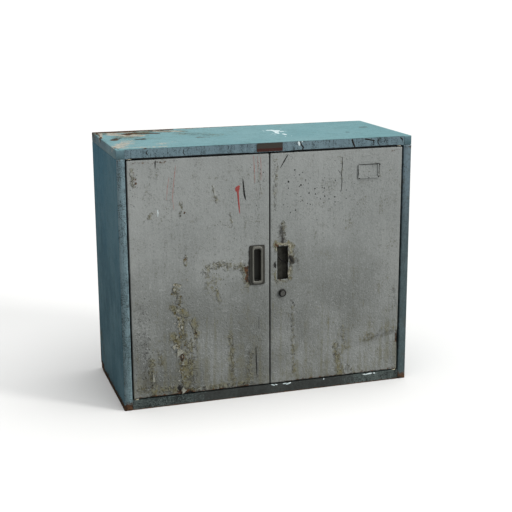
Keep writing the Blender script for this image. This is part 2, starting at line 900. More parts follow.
def lofted(
    bm: Mesh, rings: Sequence[tuple[float, float, float, float]], centre: Vector
) -> list[list[Edge]]:
    """A skin through rounded rectangles.

    Args:
        bm: the mesh to add it to.
        rings: each ring's width, height, corner radius and place along Y from the centre.
        centre: the point that the rings share.

    Returns:
        The edges of the first ring and of the last.
    """
    outlines = [rounded_outline((w, h), r, centre + Y * y) for w, h, r, y in rings]
    verts = [bm.verts.new(point) for point in outlines[0]]
    first = edges = [bm.edges.new((verts[i - 1], verts[i])) for i in range(len(verts))]
    for last, ring in zip(outlines, outlines[1:]):
        shifts = [(old, new - old) for old, new in zip(last, ring)]

        def shift(p: Vector) -> Vector:
            """The way from a point of one ring to the same point of the next."""
            return min(shifts, key=lambda pair: (pair[0] - p).length_squared)[1]

        edges = fold(bm, edges, shift)
    return [first, edges]


def spun(profile: Sequence[Spot], centre: Vector, steps: int = 48) -> Mesh:
    """A turned piece about an axis along Y.

    Args:
        profile: points of radius and place along Y from the centre.
        centre: a point on the axis.
        steps: the sides of a full turn.

    Returns:
        The closed mesh.
    """
    bm = bmesh.new()
    verts = [bm.verts.new((radius, y, 0.0)) for radius, y in profile]
    edges = [bm.edges.new(pair) for pair in zip(verts, verts[1:])]
    bmesh.ops.spin(
        bm,
        geom=verts + edges,
        cent=(0, 0, 0),
        axis=(0, 1, 0),
        angle=math.tau,
        steps=steps,
        use_merge=True,
    )
    bmesh.ops.remove_doubles(bm, verts=bm.verts, dist=SAME)
    bmesh.ops.recalc_face_normals(bm, faces=bm.faces)
    bmesh.ops.translate(bm, vec=centre, verts=bm.verts)
    return bm


def smooth_noise(x: float, z: float, size: float, seed: float) -> float:
    """Noise on a surface.

    Args:
        x: the place across.
        z: the place up.
        size: how wide its bumps are.
        seed: which noise.

    Returns:
        A value from about -1 to 1.
    """
    return noise.noise(Vector((x / size, seed * 7.31, z / size)))


def ramp(value: float, low: float, high: float) -> float:
    """A smooth step from 0 at low to 1 at high."""
    share = min(1.0, max(0.0, (value - low) / (high - low)))
    return share * share * (3.0 - 2.0 * share)


# ---- stains painted on sheets


@dataclass(frozen=True)
class Mark:
    """One stain on a sheet: a soft line from one place to another, in millimetres."""

    stain: Stain
    start: tuple[float, float]
    end: tuple[float, float]
    width: float
    strength: float = 1.0

    def at(self, a: float, b: float) -> float:
        """How strong the mark is at a place on its sheet.

        Args:
            a: the first coordinate, in millimetres.
            b: the second.

        Returns:
            The strength, 0 away from the mark.
        """
        ax, az = self.start
        dx, dz = self.end[0] - ax, self.end[1] - az
        length = dx * dx + dz * dz
        share = 0.0 if length == 0 else min(1.0, max(0.0, ((a - ax) * dx + (b - az) * dz) / length))
        away = math.hypot(a - ax - share * dx, b - az - share * dz)
        return self.strength * (1.0 - ramp(away, 0.0, self.width))


def marks_of(rows: dict[Stain, Sequence[tuple[float, ...]]]) -> tuple[Mark, ...]:
    """Stains from short rows of numbers.

    Args:
        rows: for each kind of stain, its marks: start, end, width and strength.

    Returns:
        The marks.
    """
    return tuple(
        Mark(stain, (a, b), (c, d), width, strength)
        for stain, items in rows.items()
        for a, b, c, d, width, strength in items
    )


def paint_stains(
    made: Thing,
    marks: Sequence[Mark],
    place: Callable[[Vector], Spot],
) -> None:
    """Writes a sheet's stains on its points, for its enamel to read.

    Args:
        made: the sheet.
        marks: its stains.
        place: gives a point's two coordinates on the sheet, in millimetres.
    """
    spots = []
    for vert in made.data.vertices:
        a, b = place(vert.co)
        wide = [smooth_noise(a * MM, b * MM, 0.016, seed) * 5.0 for seed in (41.0, 42.0)]
        fine = [smooth_noise(a * MM, b * MM, 0.006, seed) * 2.5 for seed in (43.0, 44.0)]
        spots.append((a + (wide[0] + fine[0]), b + (wide[1] + fine[1])))
    for stain in Stain:
        layer = made.data.attributes.new(stain.value, "FLOAT", "POINT")
        chosen = [mark for mark in marks if mark.stain is stain]
        values = [max((mark.at(a, b) for mark in chosen), default=0.0) for a, b in spots]
        layer.data.foreach_set("value", values)


def on_front(point: Vector) -> Spot:
    """A point's place on a front sheet, in millimetres."""
    return point.x / MM, point.z / MM


# ---- films, curls and patches


@dataclass(frozen=True)
class Run:
    """A run of paint down a sheet: places in millimetres, each with the run's width there."""

    points: tuple[tuple[float, float, float], ...]
    proud: float = 0.25


@dataclass
class Films:
    """Thin raised marks of one colour on a front sheet, gathered into one piece."""

    name: str
    surface: Callable[[float, float], float]
    runs: Sequence[Run] = ()
    dots: Sequence[tuple[float, float, float, float]] = ()
    seed: int = 1
    joints: int = 6

    def add_run(self, bm: Mesh, run: Run, rng: random.Random) -> None:
        """Adds one run as a domed ribbon with round ends.

        Args:
            bm: the mesh to add it to.
            run: the run.
            rng: gives its small waves.
        """
        spine: list[tuple[float, float, float]] = []
        for first, second in zip(run.points, run.points[1:]):
            for i in range(self.joints):
                share = i / self.joints
                spine.append(tuple(a + (b - a) * share for a, b in zip(first, second)))
        spine.append(run.points[-1])
        columns, rows = 4, len(spine) - 1
        made = bmesh.ops.create_grid(bm, x_segments=columns, y_segments=rows, size=0.5)
        waves = [rng.uniform(0.78, 1.2) for _ in spine]
        for vert in made["verts"]:
            column = round((vert.co.x + 0.5) * columns)
            row = round((vert.co.y + 0.5) * rows)
            before, after = spine[max(0, row - 1)], spine[min(rows, row + 1)]
            along = Vector((after[0] - before[0], after[1] - before[1])).normalized()
            across = Vector((along.y, -along.x))
            ends = min(row, rows - row)
            width = spine[row][2] * waves[row] * (0.35 if ends == 0 else 1.0)
            share = column / columns - 0.5
            spot = Vector(spine[row][:2]) + across * share * width
            crown = (1.0 - 4.0 * share * share) * (0.2 if ends == 0 else 1.0)
            lift = run.proud * crown + FILM_LIFT
            x, z = spot.x * MM, spot.y * MM
            vert.co = Vector((x, self.surface(x, z) - lift * MM, z))

    def build(self, material: Material) -> Thing:
        """Makes the piece.

        Args:
            material: the film's finish.

        Returns:
            The piece.
        """
        rng = random.Random(self.seed)
        bm = bmesh.new()
        for run in self.runs:
            self.add_run(bm, run, rng)
        for x, z, wide, tall in self.dots:
            sides, rings = (14, 6) if wide > 4.0 else (8, 4)
            spot = Vector((x * MM, self.surface(x * MM, z * MM) - 0.05 * MM, z * MM))
            turn = Matrix.Rotation(rng.uniform(-0.6, 0.6), 4, "Y")
            place = Matrix.Translation(spot) @ turn @ Matrix.Diagonal((wide, 0.7, tall, 1.0))
            bmesh.ops.create_uvsphere(
                bm, u_segments=sides, v_segments=rings, radius=0.5 * MM, matrix=place
            )
        return soften(object_from(bm, self.name, material), 60.0)


@dataclass(frozen=True)
class Curl:
    """A flake of paint that has lifted and rolled: its hinge line's middle, size, turn and roll."""

    x: float
    z: float
    wide: float
    long: float
    turn: float
    roll: float
    ragged: float = 0.25


@dataclass
class Curls:
    """Lifted flakes on a front sheet, gathered into one piece."""

    name: str
    surface: Callable[[float, float], float]
    curls: Sequence[Curl]
    seed: int = 5
    thickness: float = 0.25 * MM

    def build(self, material: Material) -> Thing:
        """Makes the piece.

        Args:
            material: the flakes' finish.

        Returns:
            The piece.
        """
        rng = random.Random(self.seed)
        bm = bmesh.new()
        for curl in self.curls:
            columns, rows = 6, 9
            made = bmesh.ops.create_grid(bm, x_segments=columns, y_segments=rows, size=0.5)["verts"]
            radius = curl.long / max(0.3, curl.roll)
            edge = [rng.uniform(-curl.ragged, curl.ragged) for _ in range(rows + 1)]
            tip = [rng.uniform(0.55, 1.0) for _ in range(columns + 1)]
            lean = rng.uniform(-0.4, 0.4)
            for vert in made:
                column, row = round((vert.co.x + 0.5) * columns), round((vert.co.y + 0.5) * rows)
                share = row / rows * tip[column]
                across = vert.co.x * (1.0 - 0.8 * share) + lean * share
                across = across * curl.wide * (1.0 + edge[row])
                angle = share * curl.roll
                along, rise = radius * math.sin(angle), radius * (1.0 - math.cos(angle))
                lift = FLAKE_REACH * (1.0 - math.exp(-rise / FLAKE_REACH)) + FLAKE_LIFT
                cos, sin = math.cos(curl.turn), math.sin(curl.turn)
                x = (curl.x + across * cos - along * sin) * MM
                z = (curl.z + across * sin + along * cos) * MM
                vert.co = Vector((x, self.surface(x, z) - lift * MM, z))
        made = object_from(bm, self.name, material)
        return soften(add_thickness(made, self.thickness), 70.0)


# ---- the shop


@dataclass
class Shop:
    """What every sub-assembly works with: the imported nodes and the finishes."""

    nodes: dict[str, Thing]
    finishes: Finishes

    def dress(self, node: str, material: Material) -> None:
        """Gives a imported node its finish.

        Args:
            node: the node's name.
            material: its finish.
        """
        mesh = self.nodes[node].data
        mesh.materials.clear()
        mesh.materials.append(material)
        LOG.info("dressed %s in %s", node, material.name)

    def place(self, made: Thing, body: str, slot: str, *nodes: str) -> None:
        """Puts a new piece on its body.

        Args:
            made: the piece.
            body: the body that it moves with.
            slot: the material slot that it takes its finish from.
            nodes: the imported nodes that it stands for.
        """
        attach(made, body)
        if nodes:
            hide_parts(*nodes)
        LOG.info("made %s on %s", made.name, body)

    def rounded(
        self, node: str, body: str, slot: str, material: Material, radius: float = 0.45 * MM
    ) -> None:
        """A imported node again, with its edges rounded.

        Args:
            node: the node.
            body: the body that it moves with.
            slot: its material slot.
            material: its finish.
            radius: how far the rounding reaches.
        """
        bm = bmesh.new()
        bm.from_mesh(self.nodes[node].data)
        bmesh.ops.remove_doubles(bm, verts=bm.verts, dist=SAME)
        bmesh.ops.dissolve_limit(bm, angle_limit=0.01, verts=bm.verts, edges=bm.edges)
        bmesh.ops.connect_verts_concave(bm, faces=bm.faces)
        made = object_from(bm, node + "_sheet", material)
        bevel = made.modifiers.new("edges", "BEVEL")
        bevel.width = radius
        bevel.segments = 2
        bevel.harden_normals = True
        bevel.limit_method = "ANGLE"
        bevel.angle_limit = math.radians(40.0)
        self.place(soften(made, 50.0), body, slot, node)


def stand(bm: Mesh, centre: Vector, across: Vector, up: Vector) -> None:
    """Turns a flat sheet about the origin to face another way, and moves it.

    Args:
        bm: the sheet.
        centre: where its middle goes.
        across: where its X goes.
        up: where its Y goes.
    """
    matrix = Matrix((across, up, across.cross(up))).transposed().to_4x4()
    matrix.translation = centre
    bmesh.ops.transform(bm, matrix=matrix, verts=bm.verts)


# ---- carcass


@dataclass
class Carcass:
    """The folded shell, its rails, its plate and what is fixed inside it."""

    shop: Shop
    gauge: float = 1.2 * MM
    bend: float = 1.5 * MM
    step: float = 5.0 * MM
    body: str = "cabinet"
    side_marks: tuple[Mark, ...] = (
        Mark(Stain.RUST, (190, 4), (150, 8), 46),
        Mark(Stain.RUST, (194, 30), (190, 80), 20, 0.8),
        Mark(Stain.SOOT, (192, 2), (176, 14), 30, 0.9),
        Mark(Stain.RUST, (150, 2), (-190, 2), 12, 0.75),
        Mark(Stain.RUST, (194, 520), (194, 600), 8, 0.6),
        Mark(Stain.OCHRE, (120, 60), (170, 120), 40, 0.5),
    )

    @property
    def top_marks(self) -> tuple[Mark, ...]:
        """The top sheet's stains.

        Returns:
            The marks, in millimetres to the right and to the back of the middle.
        """
        return marks_of({
            Stain.SOOT: (
                (-345, -4, -326, -12, 16, 1.0), (-330, 18, -322, 10, 9, 0.8),
                (-412, 10, -396, 34, 14, 0.75), (-318, 136, -276, 108, 14, 0.95),
                (-296, 150, -250, 152, 14, 0.8), (-438, 190, -395, 192, 24, 1.0),
                (288, -58, 294, -64, 7, 1.0), (-372, 172, -330, 166, 9, 0.9),
                (-232, 150, -206, 146, 7, 0.8),
            ),
            Stain.RUST: (
                (-338, -9, -318, 6, 15, 0.6), (-410, 0, -384, 30, 20, 0.8),
                (-330, 128, -262, 108, 26, 0.85), (-345, 95, -352, 118, 20, 0.95),
                (-430, 178, -200, 190, 34, 0.9), (-170, 190, 60, 192, 16, 0.75),
                (80, 192, 400, 193, 10, 0.66), (374, 37, 394, 30, 8, 0.95),
                (-168, -15, -129, -29, 9, 0.7), (-436, 40, -430, 188, 9, 0.8),
                (-390, 168, -310, 160, 12, 0.95), (-240, 166, -214, 150, 11, 0.9),
                (-380, -190, -300, -192, 6, 0.7), (-430, -190, -436, -150, 7, 0.6),
            ),
            Stain.OCHRE: (
                (-360, 60, -280, 165, 70, 1.0), (-250, 150, -180, 130, 44, 0.7),
                (-430, 150, -260, 176, 60, 0.8), (-190, 80, -120, 20, 70, 0.45),
                (-400, -60, -300, 40, 90, 0.3),
            ),
            Stain.PALE: (
                (-396, 120, -320, 70, 40, 0.95), (-250, 160, -186, 137, 30, 0.9),
                (-300, 176, -240, 180, 22, 0.8), (-390, 150, -330, 165, 30, 0.95),
                (-420, 186, -340, 190, 14, 0.8), (-150, 186, -90, 188, 13, 0.8),
                (-425, -140, -380, -40, 60, 0.62), (-420, -160, -300, -172, 30, 0.62),
                (-300, -120, -260, -90, 40, 0.5), (-436, 60, -420, 170, 16, 0.9),
                (-60, 188, 20, 190, 9, 0.8), (120, 188, 260, 190, 8, 0.75),
            ),
        })

    def sag(self, x: float, y: float) -> float:
        """How far the top has sunk at a place.

        Args:
            x: the place across.
            y: the place from front to back.

        Returns:
            The depth, in metres.
        """
        low, high = BOXES["top_panel"]
        edge = min(high.x - abs(x), high.y - y, y - low.y)
        wave = max(0.0, 0.5 + 0.5 * smooth_noise(x, y, 0.16, 3.0))
        return 1.1 * MM * wave * ramp(edge, 0.0, 0.05)

    def unfolded(self, point: Vector) -> Spot:
        """A point's place on the top sheet as if its edges were still flat, in millimetres.

        Args:
            point: the point.

        Returns:
            The place across and the place from front to back.
        """
        low, high = BOXES["top_panel"]
        drop = max(0.0, high.z - point.z - 2.0 * MM)
        x, y = point.x, point.y
        if point.y > high.y - 2.5 * MM:
            y += drop
        elif point.y < low.y + 2.5 * MM:
            y -= drop
        elif abs(point.x) > high.x - 2.5 * MM:
            x += math.copysign(drop, x)
        return x / MM, y / MM

    def top_panel(self) -> None:
        """The top sheet, with its edges folded down and wrapped round the front corners."""
        low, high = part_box("top_panel")
        inner = abs(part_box("left_front_post")[1].x)
        half = self.gauge / 2
        bm = panel_grid(high.x - low.x - self.gauge, high.y - low.y - self.gauge, self.step)
        bmesh.ops.translate(bm, vec=(0.0, (low.y + high.y) / 2, high.z - half), verts=bm.verts)
        for x in (-inner, inner):
            cut_across(bm, X * x, X, SAME)
        hem = fold(bm, boundary(bm, lambda _: True), lambda _: Z * (low.z - high.z + self.gauge))
        front, under, side = low.y + self.gauge, high.z - self.gauge, high.x - self.gauge
        remove_faces(bm, lambda p: p.y < front and p.z < under and abs(p.x) < inner)
        lips = [e for e in hem if e.is_valid and all(abs(v.co.x) > side for v in e.verts)]
        fold(bm, lips, lambda p: X * math.copysign(FLANGE, -p.x))
        round_folds(bm, sharp_edges(bm), self.bend)
        for vert in bm.verts:
            if vert.co.z > under:
                vert.co.z -= self.sag(vert.co.x, vert.co.y)
        made = object_from(bm, "top_panel_sheet", self.shop.finishes.top)
        paint_stains(made, self.top_marks, self.unfolded)
        soften(add_thickness(made, self.gauge))
        self.shop.place(made, self.body, "carcass_paint", "top_panel")

    def side_panel(self, side: Side) -> None:
        """A side sheet with its flanges, rusted away at its lower rear corner on the left.

        Args:
            side: which side.
        """
        node = f"{side.word}_side_panel"
        low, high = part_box(node)
        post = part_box(f"{side.word}_front_post")[1].y
        half = self.gauge / 2
        outer = side.value * (max(abs(low.x), abs(high.x)) - half)
        width, height = high.y - low.y - half, high.z - low.z - self.gauge
        bm = panel_grid(width, height, self.step)
        centre = Vector((outer, low.y + width / 2, (low.z + high.z) / 2))
        stand(bm, centre, Y * side.value, Z)
        inward = X * (-side.value * FLANGE)
        fold(bm, boundary(bm, lambda p: p.y > high.y - self.gauge), lambda _: inward)
        for z in (low.z, high.z):
            level = boundary(
                bm,
                lambda p: abs(p.z - z) < self.gauge
                and abs(p.x - outer) < half
                and post < p.y < high.y - 8.0 * MM,
            )
            fold(bm, level, lambda _: inward)
        round_folds(bm, sharp_edges(bm), self.bend)
        for vert in bm.verts:
            y, z = vert.co.y, vert.co.z
            if abs(vert.co.x - outer) < half:
                wave = max(0.0, 0.5 + 0.5 * smooth_noise(y, z, 0.14, 11.0 + side.value))
                edge = min(y - low.y, high.y - y, z - low.z, high.z - z)
                vert.co.x -= side.value * wave * 1.6 * MM * ramp(edge, 0.0, 0.06)
        if side is Side.LEFT:
            self.eat_corner(bm, high.y)
        made = object_from(bm, node + "_sheet", self.shop.finishes.side)
        marks = self.side_marks if side is Side.LEFT else self.side_marks[1:4]
        paint_stains(made, marks, lambda p: (p.y / MM, p.z / MM))
        self.shop.place(soften(add_thickness(made, self.gauge)), self.body, "carcass_paint", node)

    def eat_corner(self, bm: Mesh, rear: float) -> None:
        """Rusts away the lower rear corner of a side sheet.

        Args:
            bm: the side sheet.
            rear: the sheet's rear edge.
        """

        def away(p: Vector) -> float:
            """How far a place is from the corner, measured as the rust has spread."""
            return (rear - p.y) * 0.8 + p.z

        def eaten(p: Vector) -> bool:
            """Whether the sheet is gone at a place."""
            return away(p) < (26.0 + 10.0 * smooth_noise(p.y, p.z, 0.02, 4.0)) * MM

        remove_faces(bm, eaten)
        for vert in bm.verts:
            if vert.is_boundary and away(vert.co) < 45.0 * MM:
                vert.co.y -= abs(smooth_noise(vert.co.y, vert.co.z, 0.006, 8.0)) * 5.0 * MM
                vert.co.z += abs(smooth_noise(vert.co.y, vert.co.z, 0.007, 9.0)) * 5.0 * MM

    def front_post(self, side: Side) -> None:
        """A front post: its face, inner return and back return.

        Args:
            side: which side.
        """
        node = f"{side.word}_front_post"
        low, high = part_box(node)
        half = self.gauge / 2
        outer, inner = sorted((abs(low.x), abs(high.x)), reverse=True)
        s = side.value
        path = [
            (s * (outer - 2.2 * MM), high.y - half),
            (s * (inner + half), high.y - half),
            (s * (inner + half), low.y + half),
            (s * (outer - half), low.y + half),
        ]
        bm = strip(path, (low.z, high.z), self.step, "Z")
        round_folds(bm, sharp_edges(bm), self.bend)
        for vert in bm.verts:
            fade = min(ramp(vert.co.z, low.z, low.z + 0.03), ramp(high.z - vert.co.z, 0.0, 0.03))
            wave = max(0.0, 0.5 + 0.5 * smooth_noise(vert.co.x, vert.co.z, 0.09, 17.0 + s))
            vert.co.y += 0.5 * MM * fade * wave
            if side is Side.RIGHT:
                knock = ramp(1.0 - abs(vert.co.z - 0.138) / 0.035, 0.0, 1.0)
                vert.co.x += s * 1.6 * MM * knock * ramp(outer - abs(vert.co.x), 0.0, 0.02)
        f = self.shop.finishes
        made = object_from(bm, node + "_sheet", f.carcass if side is Side.LEFT else f.worn)
        marks = (
            Mark(Stain.RUST, (s * 438, 2), (s * 418, 2), 9, 0.7),
            Mark(Stain.SOOT, (s * 430, 150), (s * 432, 40), 16, 0.35),
            Mark(Stain.SOOT, (s * 415, 30), (s * 415, 720), 3, 0.5),
            Mark(Stain.SOOT, (s * 430, 552), (s * 432, 548), 7, 0.9 * (s > 0)),
            Mark(Stain.RUST, (s * 424, 724), (s * 438, 724), 5, 0.6),
        )
        paint_stains(made, marks, on_front)
        self.shop.place(soften(add_thickness(made, self.gauge)), self.body, "carcass_paint", node)

    def nameplate(self) -> None:
        """The blank enamelled plate, with a raised border and two pins."""
        low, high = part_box("nameplate")
        width, height = high.x - low.x, high.z - low.z
        centre = front_centre(low, high)
        bm = bmesh.new()
        back, face = high.y, low.y
        rings = [
            (width, height, 1.5 * MM, back),
            (width, height, 1.5 * MM, face + 0.2 * MM),
            (width - 0.4 * MM, height - 0.4 * MM, 1.3 * MM, face),
            (width - 2.4 * MM, height - 2.4 * MM, 0.8 * MM, face),
            (width - 3.0 * MM, height - 3.0 * MM, 0.6 * MM, face + 0.25 * MM),
        ]
        loops = lofted(bm, rings, centre)
        bmesh.ops.edgeloop_fill(bm, edges=loops[0])
        bmesh.ops.edgeloop_fill(bm, edges=loops[-1])
        bmesh.ops.recalc_face_normals(bm, faces=bm.faces)
        made = object_from(bm, "nameplate_enamel_plate", self.shop.finishes.plate)
        self.shop.place(soften(made), self.body, "enamel_plate", "nameplate")

    def rails_and_back(self) -> None:
        """The rails, floor, back and shelf, with their edges rounded."""
        f = self.shop.finishes
        for node, material in (
            ("top_front_rail", f.skirt),
            ("bottom_front_rail", f.foot),
            ("bottom_rear_rail", f.foot),
            ("floor_panel", f.inside),
            ("back_panel", f.carcass),
            ("shelf", f.inside),
        ):
            self.shop.rounded(node, self.body, "carcass_paint", material)

    def fittings(self) -> None:
        """The uprights, clips, catches, bushes and buffers."""
        f = self.shop.finishes
        for side in Side:
            for node in ("front_upright", "rear_upright", "front_shelf_clip", "rear_shelf_clip"):
                self.shop.rounded(f"{side.word}_{node}", self.body, "zinc_plate", f.zinc, 0.3 * MM)
            self.shop.rounded(f"{side.word}_catch_housing", self.body, "nylon", f.nylon)
            self.shop.dress(f"{side.word}_catch_magnet", f.magnet)
            for end in ("upper", "lower"):
                self.shop.dress(f"{side.word}_{end}_bush", f.nylon)
                buffer = f"{side.word}_{end}_buffer"
                self.shop.rounded(buffer, self.body, "rubber", f.rubber, 0.3 * MM)

    def rail_marks(self) -> None:
        """Drips on the rail above the doors, chips on the foot rail and a splash on the top."""
        f = self.shop.finishes
        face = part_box("top_front_rail")[0].y
        drips = (
            Run(((251, 753, 5.0), (253, 745, 6.0), (257, 736, 5.0), (260, 729, 4.5)), 0.4),
            Run(((91, 753, 3.0), (95, 744, 4.0), (101, 736, 4.0), (98, 729, 3.0)), 0.3),
            Run(((290, 751, 3.4), (300, 750, 4.4), (312, 747, 3.0), (323, 745, 3.0)), 0.3),
            Run(((318, 745, 2.4), (320, 738, 3.0), (316, 731, 2.0))),
            Run(((334, 750, 2.4), (332, 741, 3.0), (336, 734, 2.0))),
            Run(((356, 748, 2.0), (352, 738, 2.6))),
            Run(((402, 751, 3.0), (409, 747, 4.2), (412, 741, 2.0))),
            Run(((-352, 750, 2.0), (-356, 742, 2.6), (-350, 735, 1.6))),
            Run(((-250, 748, 1.6), (-252, 738, 2.2), (-247, 731, 1.6))),
            Run(((-120, 751, 1.6), (-123, 741, 2.0))),
            Run(((-408, 729, 2.4), (-300, 728.5, 1.6), (-180, 729, 2.0), (-60, 728.5, 1.6)), 0.05),
            Run(((60, 729, 1.8), (200, 728.5, 2.2), (408, 729, 1.8)), 0.05),
        )
        black = Films("top_rail_black_drips", lambda x, z: face, drips, seed=3)
        self.shop.place(black.build(f.black_film), self.body, "carcass_paint")
        splash = (
            Run(((86, 754, 5.0), (88, 748, 6.5), (89, 741, 4.0)), 0.4),
            Run(((97, 754, 3.0), (98, 751, 3.0)), 0.3),
        )
        white = Films("top_rail_white_splash", lambda x, z: face, splash, seed=4)
        self.shop.place(white.build(f.white_film), self.body, "carcass_paint")
        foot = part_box("bottom_front_rail")[0].y
        chips = (
            (9, 27, 14.0, 3.4),
            (19, 27, 9.0, 3.0),
            (46, 27, 14.0, 3.6),
            (58, 26, 18.0, 4.4),
            (171, 27, 5.0, 4.0),
            (306, 26, 16.0, 3.6),
            (320, 27, 20.0, 4.8),
            (337, 27, 7.0, 4.6),
        )
        white = Films("foot_rail_white_chips", lambda x, z: foot, (), chips, seed=6)
        self.shop.place(white.build(f.white_film), self.body, "carcass_paint")

    def top_splash(self) -> None:
        """A thin splash of white paint across the top."""
        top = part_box("top_panel")[1].z
        rng = random.Random(12)
        bm = bmesh.new()
        spots = [
            (84, 60, 17, 11), (100, 46, 20, 12), (93, 22, 12, 16),
            (112, 24, 9, 8), (86, -4, 9, 18), (97, -40, 7, 22),
        ]
        ranges = ((60, 125), (-90, 80), (1.5, 4), (1.5, 4))
        spots += [tuple(rng.uniform(*ends) for ends in ranges) for _ in range(16)]
        for x, y, wide, deep in spots:
            made = bmesh.ops.create_uvsphere(bm, u_segments=20, v_segments=6, radius=0.5 * MM)
            for vert in made["verts"]:
                angle = math.atan2(vert.co.y, vert.co.x)
                round_x, round_y = math.cos(angle) + x, math.sin(angle) + y
                ripple = 1.0 + 0.35 * smooth_noise(round_x, round_y, 0.7, 2.0)
                across = x * MM + vert.co.x * wide * ripple * 1.5
                spot = Vector((across, y * MM + vert.co.y * deep * ripple * 1.5))
                height = top - self.sag(*spot) + 0.05 * MM + vert.co.z * 0.5
                vert.co = Vector((*spot, min(top, height)))
        made = object_from(bm, "top_white_splash", self.shop.finishes.white_film)
        self.shop.place(soften(made, 60.0), self.body, "carcass_paint")

    def build(self) -> None:
        """Makes every piece of the carcass."""
        self.top_panel()
        for side in Side:
            self.side_panel(side)
            self.front_post(side)
        self.nameplate()
        self.rails_and_back()
        self.fittings()
        self.rail_marks()
        self.top_splash()


# ---- doors


@dataclass
class Door:
    """One door: its folded skin, stiffener, box, pivots and the marks of its years outdoors."""

    shop: Shop
    side: Side
    gauge: float = 1.0 * MM
    bend: float = 1.4 * MM
    lip: float = 11.5 * MM
    step: float = 3.6 * MM

    @property
    def body(self) -> str:
        """The body that the door is."""
        return f"{self.side.word}_door"

    @property
    def marks(self) -> tuple[Mark, ...]:
        """The door's stains; each kind of door has its own."""
        return ()

    def node(self, name: str) -> str:
        """A node's full name."""
        return f"{self.side.word}_{name}"

    def cutout(self) -> Box:
        """The hole for the pull, from the box behind it.

        Returns:
            Its lowest and its highest corner.
        """
        low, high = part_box(self.node("pull_box"))
        margin = Vector((4.0 * MM, 0.0, 4.0 * MM))
        return low + margin, high - margin

    def relief(self, x: float, z: float) -> float:
        """How far the face lies behind its flat place.

        Args:
            x: the place across.
            z: the place up.

        Returns:
            The depth, in metres.
        """
        low, high = BOXES[self.node("door_skin")]
        edge = min(x - low.x, high.x - x, z - low.z, high.z - z)
        seed = 20.0 + self.side.value
        wave = smooth_noise(x, z, 0.17, seed) + 0.35 * smooth_noise(x, z, 0.06, seed + 5)
        return max(0.0, 0.55 + 0.5 * wave) * 0.9 * MM * ramp(edge, 0.0, 0.05)

    def surface(self, x: float, z: float) -> float:
        """Where the door's outer face is, along Y.

        Args:
            x: the place across.
            z: the place up.

        Returns:
            The place along Y.
        """
        return BOXES[self.node("door_skin")][0].y + self.relief(x, z)

    def weather(self, bm: Mesh) -> None:
        """Bends or tears the folded sheet; each kind of door has its own way.

        Args:
            bm: the folded skin.
        """

    def skin(self) -> None:
        """The folded skin, with the hole for its pull."""
        node = self.node("door_skin")
        low, high = BOXES[node]
        half = self.gauge / 2
        width, height = high.x - low.x - self.gauge, high.z - low.z - self.gauge
        bm = panel_grid(width, height, self.step)
        stand(bm, front_centre(low, high) + Y * (low.y + half), X, Z)
        hole_low, hole_high = self.cutout()
        for corner in (hole_low, hole_high):
            cut_across(bm, X * corner.x, X, 0.4 * MM)
            cut_across(bm, Z * corner.z, Z, 0.4 * MM)
        remove_faces(
            bm, lambda p: hole_low.x < p.x < hole_high.x and hole_low.z < p.z < hole_high.z
        )

        def outermost(p: Vector) -> bool:
            """Whether a point is on the sheet's outer edge."""
            return min(p.x - low.x, high.x - p.x, p.z - low.z, high.z - p.z) < self.gauge

        back = fold(bm, boundary(bm, outermost), lambda _: Y * (high.y - low.y - self.gauge))
        middle = (low + high) / 2

        def inward(p: Vector) -> Vector:
            """The shift that folds a rear edge in, along each side that it is on.

            Args:
                p: a point on a rear edge.

            Returns:
                The shift.
            """
            shift = Vector((0.0, 0.0, 0.0))
            for axis, size in ((0, width), (2, height)):
                if abs(p[axis] - middle[axis]) > (size - self.gauge) / 2:
                    shift[axis] = math.copysign(self.lip, middle[axis] - p[axis])
            return shift

        fold(bm, back, inward)
        round_folds(bm, sharp_edges(bm), self.bend)
        for vert in bm.verts:
            if vert.co.y < low.y + 3.0 * self.gauge:
                vert.co.y += self.relief(vert.co.x, vert.co.z)
        self.weather(bm)
        made = object_from(bm, node + "_sheet", self.shop.finishes.door)
        paint_stains(made, self.marks, on_front)
        self.shop.place(soften(add_thickness(made, self.gauge)), self.body, "door_paint", node)

    def inside(self) -> None:
        """The stiffener, strike plate, pivots and brackets."""
        f = self.shop.finishes
        self.shop.rounded(self.node("door_stiffener"), self.body, "door_paint", f.door)
        self.shop.rounded(self.node("strike_plate"), self.body, "zinc_plate", f.zinc, 0.3 * MM)
        for end in ("upper", "lower"):
            self.shop.dress(self.node(f"{end}_pivot_pin"), f.lock)
            bracket = self.node(f"{end}_pivot_bracket")
            self.shop.rounded(bracket, self.body, "zinc_plate", f.zinc, 0.5 * MM)

    def build(self) -> None:
        """Makes every piece of the door."""
        self.skin()
        self.inside()
        self.extras()

    def lay(self, marks: Films | Curls, material: Material) -> None:
        """Makes films or flakes and fixes them to the door.

        Args:
            marks: the films or the flakes.
            material: their finish.
        """
        self.shop.place(marks.build(material), self.body, "door_paint")

    def extras(self) -> None:
        """What only this kind of door has."""


